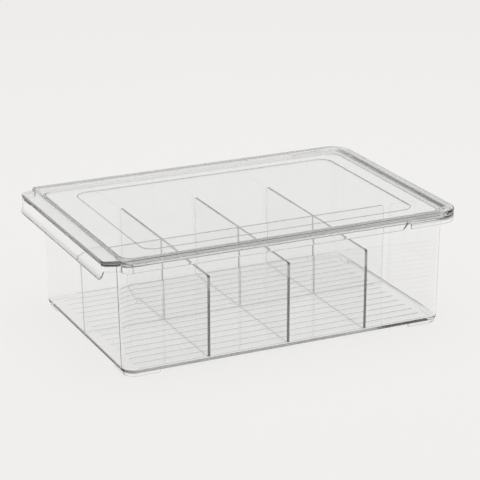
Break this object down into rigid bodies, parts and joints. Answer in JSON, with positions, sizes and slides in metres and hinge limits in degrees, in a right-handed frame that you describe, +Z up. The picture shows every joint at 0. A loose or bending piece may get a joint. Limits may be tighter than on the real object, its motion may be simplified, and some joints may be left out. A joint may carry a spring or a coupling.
{
  "type": "clear divided storage box with lid",
  "caption": "Clear rectangular storage box with a lift-off lid, a pull and a finger tab at one end, and half-lapped dividers that split it into compartments.",
  "frame": {"origin": "on the surface that the feet stand on, under the middle of the overall box that bounds the object", "axes": "+Z up; +X along the length, from the handle end towards the plain end; +Y across the width"},
  "size_m": [0.3352, 0.233, 0.1085],
  "materials": {
    "clear_box": "clear moulded plastic, polished",
    "clear_lid": "clear moulded plastic, polished",
    "clear_divider": "clear sheet plastic, polished faces, duller edges"
  },
  "bodies": {
    "box": {"box_body": "clear_box"},
    "lid": {"lid": "clear_lid"},
    "long_divider": {"long_divider": "clear_divider"},
    "cross_divider_1": {"cross_divider_1": "clear_divider"},
    "cross_divider_2": {"cross_divider_2": "clear_divider"},
    "cross_divider_3": {"cross_divider_3": "clear_divider"}
  },
  "joints": [
    {"name": "lid_lift", "type": "slide", "parent": "box", "child": "lid", "axis": [0, 0, 1], "range_m": [0, 0.36]},
    {"name": "long_divider_lift", "type": "slide", "parent": "box", "child": "long_divider", "axis": [0, 0, 1], "range_m": [0, 0.252]},
    {"name": "cross_divider_1_lift", "type": "slide", "parent": "box", "child": "cross_divider_1", "axis": [0, 0, 1], "range_m": [0, 0.126]},
    {"name": "cross_divider_2_lift", "type": "slide", "parent": "box", "child": "cross_divider_2", "axis": [0, 0, 1], "range_m": [0, 0.126]},
    {"name": "cross_divider_3_lift", "type": "slide", "parent": "box", "child": "cross_divider_3", "axis": [0, 0, 1], "range_m": [0, 0.126]}
  ],
  "couplings": [
    {"joint": "long_divider_lift", "follows": "lid_lift", "ratio": 0.7},
    {"joint": "cross_divider_1_lift", "follows": "lid_lift", "ratio": 0.35},
    {"joint": "cross_divider_2_lift", "follows": "lid_lift", "ratio": 0.35},
    {"joint": "cross_divider_3_lift", "follows": "lid_lift", "ratio": 0.35}
  ]
}
